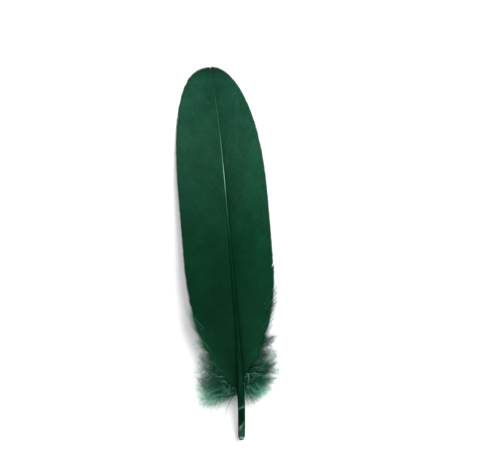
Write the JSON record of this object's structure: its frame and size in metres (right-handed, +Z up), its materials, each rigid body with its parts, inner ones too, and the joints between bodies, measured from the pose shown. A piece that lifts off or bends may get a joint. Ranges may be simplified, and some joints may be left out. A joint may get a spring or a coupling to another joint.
{
  "type": "goose feather",
  "caption": "Dyed green goose wing feather lying outer side up: a bare round quill, an arched shaft with a smooth vane on each side, and down at the foot of the vanes.",
  "frame": {"origin": "on the surface that the feather lies on, under the middle of its bounding box", "axes": "+Y along the straight line from the quill's end to the feather's tip, +Z up, away from the surface, on the feather's outer side, +X to the right of someone who looks down on it with the tip away from them"},
  "size_m": [0.0432, 0.18, 0.0112],
  "materials": {
    "vane": "satin keratin barbs, dyed deep green, lighter at the tip and darker at the foot",
    "quill": "glossy keratin of the quill and shaft, dyed deep green, with a few paler worn patches near the end",
    "down": "loose downy barbs, dyed green, paler where they thin out"
  },
  "bodies": {
    "root": {"feather": "vane"}
  },
  "joints": []
}
